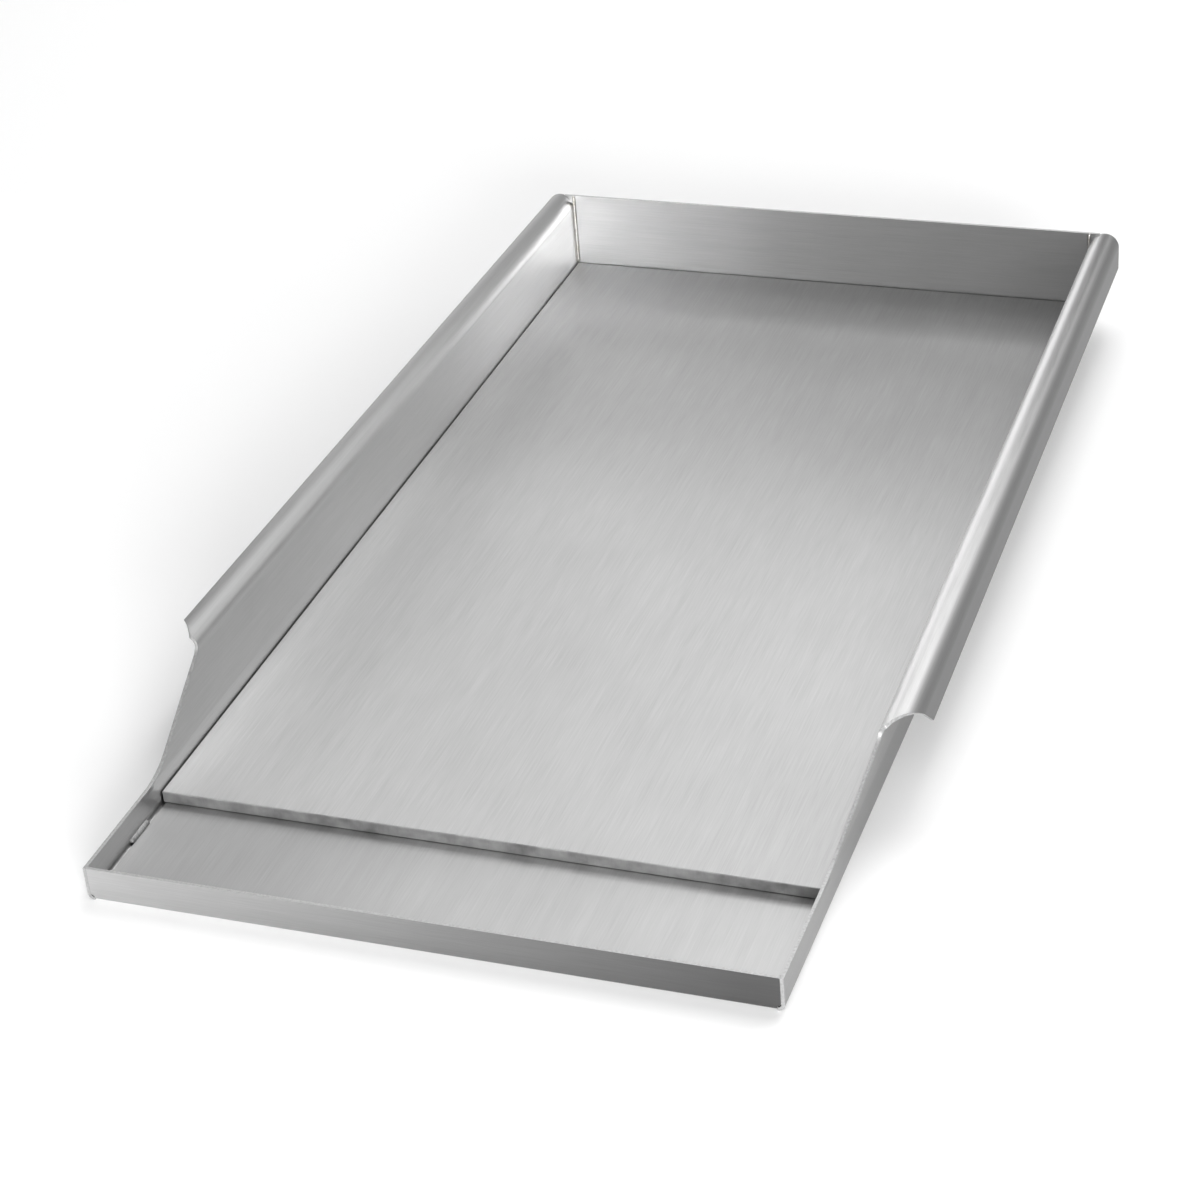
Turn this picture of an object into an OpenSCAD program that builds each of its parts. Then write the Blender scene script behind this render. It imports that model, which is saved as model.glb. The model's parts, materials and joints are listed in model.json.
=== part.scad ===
// Flat top griddle: a thick cooking plate in a welded sheet steel tray.
// +X is to the right, +Y to the back, +Z up. The origin is on the ground, under the
// middle of the tray, so the tray stands on Z = 0. All lengths are in millimetres.

/* [Tray] */
// Clear width between the two side walls
inner_w = 290; // [220:1:420]
// Clear length from the front wall to the back wall
inner_len = 595; // [420:1:800]
// Thickness of the sheet in the walls, the floor and the rims
sheet_t = 1.5; // [1:0.1:2.5]
// Outside radius of the bends along the bottom of the side walls
bend_r = 3; // [2.6:0.1:6]
// Inside radius of the tighter bends along the bottom of the front and back walls
end_bend_in_r = 0.3; // [0.1:0.1:1.5]
// Width of the flanges that turn in under the floor
flange_w = 15; // [10:0.5:25]

/* [Cooking plate] */
// Thickness of the cooking plate
plate_t = 5.5; // [4:0.5:12]
// Gap between the plate and the walls beside and behind it
plate_gap = 0.5; // [0.2:0.1:1.5]
// Bevel ground on the plate's upper edges
plate_bevel = 0.5; // [0.2:0.1:1]
// Clear width of the grease trough in front of the plate
trough_w = 64; // [40:1:100]

/* [Walls] */
// Height of the back wall and of the rims above the plate
wall_h = 40.5; // [32:0.5:70]
// Height of the low rim round the trough above the plate
low_rim_h = 7; // [4:0.5:12]

/* [Rolled rims] */
// Outside radius of the rolled rims
roll_r = 7.5; // [5:0.25:10]
// Straight length that hangs below the roll
lip_drop = 12; // [6:0.5:20]
// How far each rim leans out where it passes the plate's front edge
rim_splay = 6.5; // [0:0.1:9]

/* [Front cut of the side walls] */
// Slope of the wall's top edge as it climbs from the low rim, in degrees
slope_angle = 24; // [20:1:40]
// Radius of the hollow where the low rim turns up into the slope
slope_fillet_r = 60; // [20:1:80]
// Distance from the plate's front edge to the front end of the rim
rim_setback = 60; // [40:1:100]
// Radius of the notch where the slope turns up to the rim
rim_notch_r = 6; // [2:0.5:10]
// Height of the upright edge above the notch, before the rim's end slants back
rim_end_h = 3; // [0:0.5:6]
// Extra distance that the hanging lip ends behind the rest of the rim
lip_setback = 34; // [10:1:50]

/* [Welds] */
// Leg of the fillet welds in the upright corners
corner_weld_r = 1.8; // [1:0.1:3]
// Leg of the two stitch welds beside the trough
trough_weld_r = 2; // [1:0.1:3]
// Length of the two stitch welds beside the trough
trough_weld_len = 16; // [8:1:30]
// Distance from the plate's front edge to the near end of those welds
trough_weld_gap = 14; // [4:1:24]
// Leg of the stitch welds under the floor, kept short of the sheet's thickness
flange_weld_r = 1.3; // [0.5:0.1:1.3]
// Length of each stitch weld under the floor
flange_weld_len = 25; // [10:1:40]
// Number of stitch welds along each long flange
side_weld_count = 6; // [2:1:10]
// Number of stitch welds along each short flange
end_weld_count = 3; // [1:1:5]
// Radius of the plug welds that hold the plate on the floor
plug_r = 4; // [2:0.5:6]
// Distance of the plug welds from the plate's edges
plug_inset = 40; // [25:1:60]

/* [Hidden] */
$fn = 48;

// Heights, from the ground up
floor_z = sheet_t;
plate_z = floor_z + sheet_t;
plate_top = plate_z + plate_t;
low_rim_top = plate_top + low_rim_h;
wall_top = plate_top + wall_h;
roll_z = wall_top - roll_r;

// Places along the tray, from the front to the back
front_y = -inner_len / 2 - sheet_t;
trough_y = front_y + sheet_t;
plate_y = trough_y + trough_w;
back_y = trough_y + inner_len;
rear_y = back_y + sheet_t;

// Places across the tray
side_x = inner_w / 2;
// Inside radius of the side walls' bends, which also keeps the floor's edge off the wall
bend_in_r = bend_r - sheet_t;
// Outside radius of the end walls' bends
end_bend_r = end_bend_in_r + sheet_t;
// Half the length of the end walls' flanges, which reach from bend to bend
foot_x = side_x - bend_in_r;

// Clearance between the flanges of the side walls and those of the end walls
flange_gap = 0.5;
side_flange_len = inner_len - 2 * (flange_w + flange_gap);

// The side wall is one sheet: flange, bend, upright web, roll and hanging lip. A point
// above the low rim is found from s, the length along the sheet from the low rim's edge.
web_len = roll_z - low_rim_top;
roll_len = PI * roll_r;
lip_s = web_len + roll_len + lip_drop;

// The rim leans out further towards the open front, from nothing at the back wall
function lean(y, z) =
    rim_splay * (rear_y - y) / (rear_y - plate_y)
    * max(0, z - low_rim_top) / (roll_z - low_rim_top);

// Distance out from the wall's inner plane, and height, at length s along the sheet. The
// skin is 0 on the tray side of the sheet and sheet_t on its other side.
function sheet_point(s, y, skin) =
    s <= web_len ? [lean(y, low_rim_top + s) + skin, low_rim_top + s]
    : s <= web_len + roll_len ? [
        lean(y, roll_z) + roll_r - (roll_r - skin) * cos(180 * (s - web_len) / roll_len),
        roll_z + (roll_r - skin) * sin(180 * (s - web_len) / roll_len)
    ]
    : [lean(y, roll_z) + 2 * roll_r - skin, roll_z - (s - web_len - roll_len)];

// The straight part of the front cut runs down to where it would meet the low rim
slope_foot_y = plate_y + rim_setback - web_len / tan(slope_angle);
fillet_y = slope_foot_y - slope_fillet_r * tan(slope_angle / 2);
fillet_rise = slope_fillet_r * (1 - cos(slope_angle));
// The notch turns the slope up into the front end of the rim
notch_top_s = web_len + rim_notch_r * tan((90 - slope_angle) / 2);
notch_low_s = notch_top_s - rim_notch_r * cos(slope_angle);
rim_end_s = notch_top_s + rim_end_h;

// Front end of the sheet at length s: hollow, slope, notch, then the slanting rim and lip
function cut_y(s) =
    s < fillet_rise ? fillet_y + sqrt(slope_fillet_r ^ 2 - (slope_fillet_r - s) ^ 2)
    : s < notch_low_s ? slope_foot_y + s / tan(slope_angle)
    : s < notch_top_s
        ? plate_y + rim_setback - rim_notch_r
            + sqrt(rim_notch_r ^ 2 - (notch_top_s - s) ^ 2)
    : plate_y + rim_setback + lip_setback * max(0, s - rim_end_s) / (lip_s - rim_end_s);

// Rows that run along the sheet from its front end to the rear
fillet_steps = 6;
slope_steps = 4;
notch_steps = 3;
roll_steps = 18;
sheet_rows = concat(
    [for (i = [0:fillet_steps]) slope_fillet_r * (1 - cos(slope_angle * i / fillet_steps))],
    [for (i = [1:slope_steps]) fillet_rise + (notch_low_s - fillet_rise) * i / slope_steps],
    [for (i = [1:notch_steps - 1]) notch_low_s + (web_len - notch_low_s) * i / notch_steps],
    [for (i = [0:roll_steps]) web_len + roll_len * i / roll_steps],
    [lip_s]
);
// Each row is cut into this many lengths
row_cuts = 6;

function quad(a, b, c, d) = [[a, c, b], [a, d, c]];
function row_index(row, cut, skin) = (row * (row_cuts + 1) + cut) * 2 + skin;

// Left side wall above the low rim: the leaning web, the roll and the lip
module leaning_sheet() {
    last = len(sheet_rows) - 1;
    points = [
        for (s = sheet_rows)
            for (cut = [0:row_cuts])
                for (skin = [0, sheet_t])
                    let (
                        y = cut_y(s) + (rear_y - cut_y(s)) * cut / row_cuts,
                        p = sheet_point(s, y, skin)
                    )
                    [-side_x - p[0], y, p[1]]
    ];
    skins = [
        for (r = [0:last - 1])
            for (c = [0:row_cuts - 1])
                each concat(
                    quad(row_index(r, c, 0), row_index(r, c + 1, 0),
                        row_index(r + 1, c + 1, 0), row_index(r + 1, c, 0)),
                    quad(row_index(r, c, 1), row_index(r + 1, c, 1),
                        row_index(r + 1, c + 1, 1), row_index(r, c + 1, 1))
                )
    ];
    cut_ends = [
        for (r = [0:last - 1])
            each concat(
                quad(row_index(r, 0, 0), row_index(r + 1, 0, 0),
                    row_index(r + 1, 0, 1), row_index(r, 0, 1)),
                quad(row_index(r, row_cuts, 0), row_index(r, row_cuts, 1),
                    row_index(r + 1, row_cuts, 1), row_index(r + 1, row_cuts, 0))
            )
    ];
    long_edges = [
        for (c = [0:row_cuts - 1])
            each concat(
                quad(row_index(0, c, 0), row_index(0, c, 1),
                    row_index(0, c + 1, 1), row_index(0, c + 1, 0)),
                quad(row_index(last, c, 0), row_index(last, c + 1, 0),
                    row_index(last, c + 1, 1), row_index(last, c, 1))
            )
    ];
    polyhedron(points = points, faces = concat(skins, cut_ends, long_edges));
}

// Quarter bend of outside radius r that runs along +X, from straight down to facing -Y
module bottom_bend(r, length) {
    rotate([90, 0, 90])
        linear_extrude(length)
            difference() {
                circle(r);
                circle(r - sheet_t);
                translate([-r, 0])
                    square([2 * r, r]);
                translate([0, -r])
                    square([r, 2 * r]);
            }
}

// Left side wall: a straight foot up to the low rim, and the leaning sheet above it
module side_sheet() {
    length = rear_y - front_y;
    translate([-side_x - sheet_t, front_y, bend_r])
        cube([sheet_t, length, low_rim_top - bend_r]);
    translate([-foot_x, rear_y, bend_r])
        rotate([0, 0, -90])
            bottom_bend(bend_r, length);
    translate([-foot_x, -side_flange_len / 2, 0])
        cube([flange_w - bend_in_r, side_flange_len, sheet_t]);
    leaning_sheet();
}

// Upright end wall whose foot turns in under the floor, standing on Y = 0 and facing -Y.
// Its bottom corners are cut to nest in the bends of the side walls. The points of upper
// are the outline of its right upper corner.
module end_sheet(upper) {
    mirrored = [for (i = [len(upper) - 1:-1:0]) [-upper[i][0], upper[i][1]]];
    rotate([90, 0, 0])
        translate([0, 0, -sheet_t])
            linear_extrude(sheet_t)
                polygon(concat(
                    [[-side_x, bend_r], [-foot_x, end_bend_r]],
                    [[foot_x, end_bend_r], [side_x, bend_r]],
                    upper, mirrored
                ));
    translate([-foot_x, end_bend_r, end_bend_r])
        bottom_bend(end_bend_r, 2 * foot_x);
    translate([-foot_x, end_bend_r, 0])
        cube([2 * foot_x, flange_w - end_bend_in_r, sheet_t]);
}

// Ear of the back wall, which fills the notch between the wall's end and the roll. It
// follows the roll's own steps, and stops before it gets too thin.
ear_steps = 7;
ear_points = [
    for (i = [0:ear_steps])
        let (turn = 180 * i / roll_steps)
            [side_x + roll_r - roll_r * cos(turn), roll_z + roll_r * sin(turn)]
];

// Convex quarter-round weld along +Z, with its legs on +X and +Y
module fillet_weld(leg, length) {
    rotate_extrude(angle = 90)
        square([leg, length]);
}

// Upright weld in the inside corner at the given end, on the left of the tray
module corner_weld(y, turn, bottom, top) {
    translate([-side_x, y, bottom])
        rotate([0, 0, turn])
            fillet_weld(corner_weld_r, top - bottom);
}

// Short weld between the trough's floor and the left wall
module trough_weld() {
    translate([-side_x, plate_y - trough_weld_gap, plate_z])
        rotate([90, 0, 0])
            fillet_weld(trough_weld_r, trough_weld_len);
}

// Row of stitch welds centred on the origin along X, in the corner under the floor
module stitch_row(count, span) {
    pitch = span / count;
    for (i = [0:count - 1])
        translate([(i - (count - 1) / 2) * pitch - flange_weld_len / 2, 0, 0])
            rotate([-90, 0, -90])
                mirror([1, 0, 0])
                    fillet_weld(flange_weld_r, flange_weld_len);
}

// Stitch welds along the inner edge of the left flange
module side_stitches() {
    translate([-side_x + flange_w, 0, floor_z])
        rotate([0, 0, -90])
            stitch_row(side_weld_count, inner_len - 2 * flange_w);
}

// Stitch welds along the inner edge of an end wall's flange
module end_stitches() {
    stitch_row(end_weld_count, inner_w - 2 * flange_w);
}

// Centres of the plug welds under the plate
plug_places = [
    for (x = [-1, 0, 1])
        for (k = [0, 1, 2])
            let (
                x_out = side_x - plug_inset,
                y_near = plate_y + plug_inset,
                y_far = back_y - plug_inset
            )
            if (x != 0 || k != 1)
                [x * x_out, y_near + (y_far - y_near) * k / 2]
];

// Section of the plate, bevelled along its two upper edges, from start to end
module plate_section(start, end) {
    polygon([
        [start, 0], [end, 0],
        [end, plate_t - plate_bevel], [end - plate_bevel, plate_t],
        [start + plate_bevel, plate_t], [start, plate_t - plate_bevel]
    ]);
}

module griddle_plate() {
    half_w = side_x - plate_gap;
    plate_end = back_y - plate_gap;
    color("silver")
        translate([0, 0, plate_z])
            intersection() {
                translate([0, plate_end + 1, 0])
                    rotate([90, 0, 0])
                        linear_extrude(plate_end - plate_y + 2)
                            plate_section(-half_w, half_w);
                translate([-half_w - 1, 0, 0])
                    rotate([90, 0, 90])
                        linear_extrude(2 * half_w + 2)
                            plate_section(plate_y, plate_end);
            }
}

module tray_floor() {
    color("lightgray")
        difference() {
            translate([-foot_x, trough_y + bend_in_r, floor_z])
                cube([2 * foot_x, inner_len - 2 * bend_in_r, sheet_t]);
            for (place = plug_places)
                translate([place[0], place[1], floor_z - 1])
                    cylinder(h = sheet_t + 2, r = plug_r);
        }
}

module left_side_wall() {
    color("gainsboro")
        side_sheet();
}

module right_side_wall() {
    color("gainsboro")
        mirror([1, 0, 0])
            side_sheet();
}

module front_wall() {
    color("lightgray")
        translate([0, front_y, 0])
            end_sheet([[side_x, low_rim_top]]);
}

module back_wall() {
    color("darkgray")
        translate([0, rear_y, 0])
            rotate([0, 0, 180])
                end_sheet(concat(ear_points, [[ear_points[ear_steps][0], wall_top]]));
}

module front_left_corner_weld() {
    color("whitesmoke")
        corner_weld(trough_y, 0, plate_z, low_rim_top);
}

module front_right_corner_weld() {
    mirror([1, 0, 0])
        front_left_corner_weld();
}

module back_left_corner_weld() {
    color("whitesmoke")
        corner_weld(back_y, -90, plate_top, wall_top);
}

module back_right_corner_weld() {
    mirror([1, 0, 0])
        back_left_corner_weld();
}

module left_trough_weld() {
    color("whitesmoke")
        trough_weld();
}

module right_trough_weld() {
    mirror([1, 0, 0])
        left_trough_weld();
}

module left_flange_welds() {
    color("gray")
        side_stitches();
}

module right_flange_welds() {
    mirror([1, 0, 0])
        left_flange_welds();
}

module front_flange_welds() {
    color("gray")
        translate([0, front_y + sheet_t + flange_w, floor_z])
            end_stitches();
}

module back_flange_welds() {
    color("gray")
        translate([0, rear_y - sheet_t - flange_w, floor_z])
            rotate([0, 0, 180])
                end_stitches();
}

module plate_plug_welds() {
    color("dimgray")
        for (place = plug_places)
            translate([place[0], place[1], floor_z])
                cylinder(h = sheet_t, r = plug_r);
}

griddle_plate();
tray_floor();
left_side_wall();
right_side_wall();
front_wall();
back_wall();
front_left_corner_weld();
front_right_corner_weld();
back_left_corner_weld();
back_right_corner_weld();
left_trough_weld();
right_trough_weld();
left_flange_welds();
right_flange_welds();
front_flange_welds();
back_flange_welds();
plate_plug_welds();
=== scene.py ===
# %% [markdown]
# # A flat top griddle
# The griddle is a thick steel plate lying in a tray that is folded and welded from thin
# stainless sheet. It stands over the burners of a range. Nothing on it moves, so each
# piece rides on the one body, "root".
#
# The lesson starts by loading the CAD model. Its solids are the frame that everything
# here is built in, and the boxes of its parts give the sizes.

# %% Load the CAD frame
import json
import math

import bmesh
import bpy
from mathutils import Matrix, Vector, noise

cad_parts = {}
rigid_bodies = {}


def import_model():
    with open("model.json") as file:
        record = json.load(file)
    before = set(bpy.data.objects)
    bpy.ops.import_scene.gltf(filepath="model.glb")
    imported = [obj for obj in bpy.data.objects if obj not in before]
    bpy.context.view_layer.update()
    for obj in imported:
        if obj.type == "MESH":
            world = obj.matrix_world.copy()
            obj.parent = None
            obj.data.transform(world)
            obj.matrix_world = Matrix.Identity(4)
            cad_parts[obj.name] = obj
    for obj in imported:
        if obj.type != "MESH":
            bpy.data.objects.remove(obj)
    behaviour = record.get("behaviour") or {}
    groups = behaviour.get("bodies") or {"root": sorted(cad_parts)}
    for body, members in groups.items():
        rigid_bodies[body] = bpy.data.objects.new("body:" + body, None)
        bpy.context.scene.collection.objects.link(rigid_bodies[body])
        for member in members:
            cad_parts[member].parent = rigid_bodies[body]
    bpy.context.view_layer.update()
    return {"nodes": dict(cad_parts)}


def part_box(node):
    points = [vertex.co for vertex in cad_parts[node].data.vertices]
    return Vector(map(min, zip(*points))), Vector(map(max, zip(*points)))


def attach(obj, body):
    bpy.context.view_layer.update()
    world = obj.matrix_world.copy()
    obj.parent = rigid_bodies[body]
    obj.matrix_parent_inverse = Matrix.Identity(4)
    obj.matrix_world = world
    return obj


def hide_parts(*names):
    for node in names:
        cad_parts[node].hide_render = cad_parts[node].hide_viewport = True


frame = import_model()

MM = 0.001
print("CAD nodes", len(frame["nodes"]))

# %% [markdown]
# ## Sizes
# The sizes are read from the CAD model, so that every visual piece lands exactly where
# the solid piece is. The few sizes that a bounding box cannot tell, such as the radius
# of a bend, are written once here in millimetres.

# %% Sizes from the CAD model
plate_low, plate_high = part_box("griddle_plate")
floor_low, floor_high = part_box("tray_floor")
left_low, left_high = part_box("left_side_wall")
front_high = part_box("front_wall")[1]
back_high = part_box("back_wall")[1]

SHEET = floor_high.z - floor_low.z
INNER_X = front_high.x
FRONT_Y, REAR_Y = left_low.y, left_high.y
TROUGH_Y, BACK_Y = FRONT_Y + SHEET, REAR_Y - SHEET
PLATE_Y = plate_low.y
LOW_RIM_Z = front_high.z
WALL_TOP_Z = back_high.z

BEND_R = 3.0 * MM
BEND_IN_R = BEND_R - SHEET
END_BEND_IN_R = 0.3 * MM
END_BEND_R = END_BEND_IN_R + SHEET
FLANGE = 15.0 * MM
FLANGE_GAP = 0.5 * MM
ROLL_R = 7.5 * MM
LIP = 12.0 * MM
SPLAY = 6.5 * MM
SLOPE_ANGLE = math.radians(24)
FILLET_R = 60.0 * MM
RIM_SETBACK = 60.0 * MM
RIM_END = 3.0 * MM
LIP_SETBACK = 34.0 * MM
RIM_NOTCH_R = 6.0 * MM
PLUG_R = 4.0 * MM
PLUG_INSET = 40.0 * MM

ROLL_Z = WALL_TOP_Z - ROLL_R
WEB = ROLL_Z - LOW_RIM_Z
ROLL_LEN = math.pi * ROLL_R

print("sheet", round(SHEET / MM, 3), "mm, inner width", round(2 * INNER_X / MM, 1), "mm")

# %% [markdown]
# ## A helper that turns a drawn surface into sheet metal
# Every piece of the tray is sheet of one thickness, so they are all made the same way.
# A piece is given as small four-sided cells. Each corner of a cell has a point on the
# good face, the matching point on the other face, and its place on the flat sheet before
# bending. The helper joins equal corners, closes the cut edges and stores the flat place
# as a UV map. Grain, streaks and scratches then follow the sheet round its bends, as
# they do on real brushed stock, and U always runs across the grain.

# %% A finished mesh becomes an object
def finished(name, mesh):
    data = bpy.data.meshes.new(name)
    mesh.to_mesh(data)
    mesh.free()
    piece = bpy.data.objects.new(name, data)
    bpy.context.scene.collection.objects.link(piece)
    return piece


def steps(start, end, count):
    """Evenly spaced values from start to end, both included."""
    return [start + (end - start) * i / count for i in range(count + 1)]


# %% Sheet metal from cells
EDGE_SLOT = 1


def sheet_metal(name, cells, thickness=SHEET):
    """Good faces and other faces take the first material, cut edges the second."""
    mesh = bmesh.new()
    flat_layer = mesh.loops.layers.uv.new("grain")
    corner_ids, good, other = {}, [], []

    def corner(point):
        a, b = point[0], point[1]
        key = tuple(round(c * 1e6) for c in (*a, *b))
        if key not in corner_ids:
            corner_ids[key] = len(good)
            good.append(mesh.verts.new(a))
            other.append(mesh.verts.new(b))
        return corner_ids[key]

    def face(verts, places, slot=0):
        made = mesh.faces.new(verts)
        made.smooth = True
        made.material_index = slot
        for loop, place in zip(made.loops, places):
            loop[flat_layer].uv = place

    edges = {}
    for cell in cells:
        kept = []
        for point in cell:
            number = corner(point)
            if number not in [k[0] for k in kept]:
                kept.append((number, point[2]))
        ids, places = [k[0] for k in kept], [k[1] for k in kept]
        face([good[i] for i in ids], places)
        face([other[i] for i in reversed(ids)], list(reversed(places)))
        for k, i in enumerate(ids):
            edges[(i, ids[k - len(ids) + 1])] = (places[k], places[k - len(ids) + 1])
    for (i, j), (a, b) in edges.items():
        if (j, i) in edges:
            continue
        along_grain = abs(b[1] - a[1]) >= abs(b[0] - a[0])
        step = (thickness, 0) if along_grain else (0, thickness)
        c, d = (b[0] + step[0], b[1] + step[1]), (a[0] + step[0], a[1] + step[1])
        face([good[j], good[i], other[i], other[j]], [b, a, d, c], EDGE_SLOT)
    bmesh.ops.recalc_face_normals(mesh, faces=mesh.faces)
    return finished(name, mesh)


# %% Broken edges, and a place in the frame
SHARP = math.radians(40)


def break_edges(piece, width_mm, segments=2):
    """Rounds every sharp edge a little, as filing or tumbling does."""
    bevel = piece.modifiers.new("broken edges", "BEVEL")
    bevel.width = width_mm * MM
    bevel.segments = segments
    bevel.limit_method = "ANGLE"
    bevel.angle_limit = SHARP
    bevel.harden_normals = True
    return piece


def settle(piece, node):
    """Puts a finished piece in the CAD frame in place of its solid."""
    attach(piece, "root")
    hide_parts(node)
    print(node, len(piece.data.polygons), "faces")


# %% [markdown]
# ## The rolled side walls
# Each side of the tray is one strip of sheet. A brake turns its lower edge in to make a
# flange, and its upper edge is rolled over into a round rim with a straight lip that
# hangs down outside. The rim has sprung outwards towards the open front, so the wall
# leans there and stands upright at the back. Before rolling, the front of the strip was
# cut: a low rim beside the trough, a hollow, a slope, and a slanting end on the roll.
#
# It could be a curve with a bevel object, but then the cut end would be square. Instead
# the flat strip is drawn as rows, each with its own front end, and each row is bent into
# place. The slanting end then wraps round the roll by itself.

# %% The front cut of the side walls
slope_foot_y = PLATE_Y + RIM_SETBACK - WEB / math.tan(SLOPE_ANGLE)
hollow_y = slope_foot_y - FILLET_R * math.tan(SLOPE_ANGLE / 2)
hollow_rise = FILLET_R * (1 - math.cos(SLOPE_ANGLE))
notch_s = WEB + RIM_NOTCH_R * math.tan((math.pi / 2 - SLOPE_ANGLE) / 2)


def front_cut(s):
    """Front end of the strip at height s above the low rim, measured along the sheet."""
    if s < hollow_rise:
        return hollow_y + math.sqrt(FILLET_R ** 2 - (FILLET_R - s) ** 2)
    if s < notch_s - RIM_NOTCH_R * math.cos(SLOPE_ANGLE):
        return slope_foot_y + s / math.tan(SLOPE_ANGLE)
    if s < notch_s:
        reach = math.sqrt(RIM_NOTCH_R ** 2 - (notch_s - s) ** 2)
        return PLATE_Y + RIM_SETBACK - RIM_NOTCH_R + reach
    over = max(0.0, s - notch_s - RIM_END) / (WEB + ROLL_LEN + LIP - notch_s - RIM_END)
    return PLATE_Y + RIM_SETBACK + LIP_SETBACK * over


print("hollow starts", round((hollow_y - PLATE_Y) / MM, 1), "mm behind the plate's front edge")


# %% Where a point of the flat strip goes when it is bent
WAVE, WAVE_FADE = 0.18 * MM, 50 * MM


def lean(y, z):
    """How far the wall has sprung outwards, more towards the front and the rim."""
    rise = max(0.0, min(z, ROLL_Z) - LOW_RIM_Z) / WEB
    return SPLAY * (REAR_Y - y) / (REAR_Y - PLATE_Y) * rise


def sheet_wave(s, y):
    """The slow unevenness of folded sheet, which the bends and the back wall hold flat."""
    if s <= 0 or s >= WEB:
        return 0.0
    free = math.sin(math.pi * s / WEB) * min(1.0, (REAR_Y - y) / WAVE_FADE)
    return WAVE * free * noise.noise(Vector((s * 18, y * 9, 3.7)))


def bent_place(s, y, depth):
    """Distance out from the inner face, and height; depth 0 is the tray side."""
    quarter = BEND_IN_R * math.pi / 2
    foot_s = s + LOW_RIM_Z - BEND_R
    if foot_s <= -quarter:
        return foot_s + quarter - BEND_IN_R, SHEET - depth
    if foot_s < 0:
        turn, reach = foot_s / BEND_IN_R, BEND_IN_R + depth
        return reach * math.cos(turn) - BEND_IN_R, BEND_R + reach * math.sin(turn)
    if s <= WEB:
        return lean(y, LOW_RIM_Z + s) + depth + sheet_wave(s, y), LOW_RIM_Z + s
    if s <= WEB + ROLL_LEN:
        turn, reach = (s - WEB) / ROLL_R, ROLL_R - depth
        out = lean(y, ROLL_Z) + ROLL_R - reach * math.cos(turn)
        return out, ROLL_Z + reach * math.sin(turn)
    return lean(y, ROLL_Z) + 2 * ROLL_R - depth, ROLL_Z - (s - WEB - ROLL_LEN)


# %% Rows and columns of the side walls
bend_top_s = BEND_R - LOW_RIM_Z
bend_low_s = bend_top_s - BEND_IN_R * math.pi / 2
flange_front_y = TROUGH_Y + FLANGE + FLANGE_GAP
flange_rows = steps(bend_low_s - (FLANGE - BEND_IN_R), bend_low_s, 6)
bend_rows = steps(bend_low_s, bend_top_s, 8) + steps(bend_top_s, 0, 5)[1:]
hollow_rows = [FILLET_R * (1 - math.cos(SLOPE_ANGLE * i / 12)) for i in range(13)]
rim_rows = (hollow_rows + steps(hollow_rise, WEB - 3 * MM, 6)[1:]
            + steps(WEB - 3 * MM, WEB, 4)[1:] + steps(WEB, WEB + ROLL_LEN, 44)[1:]
            + steps(WEB + ROLL_LEN, WEB + ROLL_LEN + LIP, 5)[1:])
front_ys = steps(FRONT_Y, flange_front_y, 5)[:-1]
foot_ys = steps(flange_front_y, hollow_y, 11)[:-1]
print("rows", len(flange_rows + bend_rows + rim_rows))


def columns(front_y):
    """Places along the strip, with one at the rear end of the flange."""
    return steps(front_y, -flange_front_y, 87) + steps(-flange_front_y, REAR_Y, 3)[1:]


# %% Make both side walls
def side_wall(node, side):
    def corner(s, y):
        good, under = bent_place(s, y, 0), bent_place(s, y, SHEET)
        return ((side * (INNER_X + good[0]), y, good[1]),
                (side * (INNER_X + under[0]), y, under[1]), (s, y))

    def strip(low, high, low_ys, high_ys):
        return [(corner(low, low_ys[k]), corner(low, low_ys[k + 1]),
                 corner(high, high_ys[k + 1]), corner(high, high_ys[k]))
                for k in range(len(low_ys) - 1)]

    flange_ys = foot_ys + columns(hollow_y)[:-3]
    bend_ys = front_ys + foot_ys + columns(hollow_y)
    cells = []
    for low, high in zip(flange_rows, flange_rows[1:]):
        cells += strip(low, high, flange_ys, flange_ys)
    for low, high in zip(bend_rows, bend_rows[1:]):
        cells += strip(low, high, bend_ys, bend_ys)
    for low, high in zip(rim_rows, rim_rows[1:]):
        cells += strip(low, high, columns(front_cut(low)), columns(front_cut(high)))
    return break_edges(sheet_metal(node + "_sheet", cells), 0.25)


left_wall = side_wall("left_side_wall", -1)
right_wall = side_wall("right_side_wall", 1)
settle(left_wall, "left_side_wall")
settle(right_wall, "right_side_wall")

# %% [markdown]
# ## The front and back walls
# Each end of the tray is a flat strip between the side walls. Its foot turns in under the
# floor round a much tighter bend, so its lower edge looks almost sharp, and its two lower
# corners are cut to nest in the bends of the side walls. The front strip is low, because
# the cook scrapes grease over the plate's edge into the trough behind it. The back strip
# is as tall as the rims. It has an ear at each end, which fills the notch between the
# strip and the round of the rim.
#
# The strip is drawn as a grid of cells. Its middle goes round the bend, and the cells at
# each end stop at the bends of the side walls, so the cut corners need no boolean.

# %% Make both end walls
EAR_ROWS, EAR_STEPS, EAR_TURN = 3, 14, math.radians(5)


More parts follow.
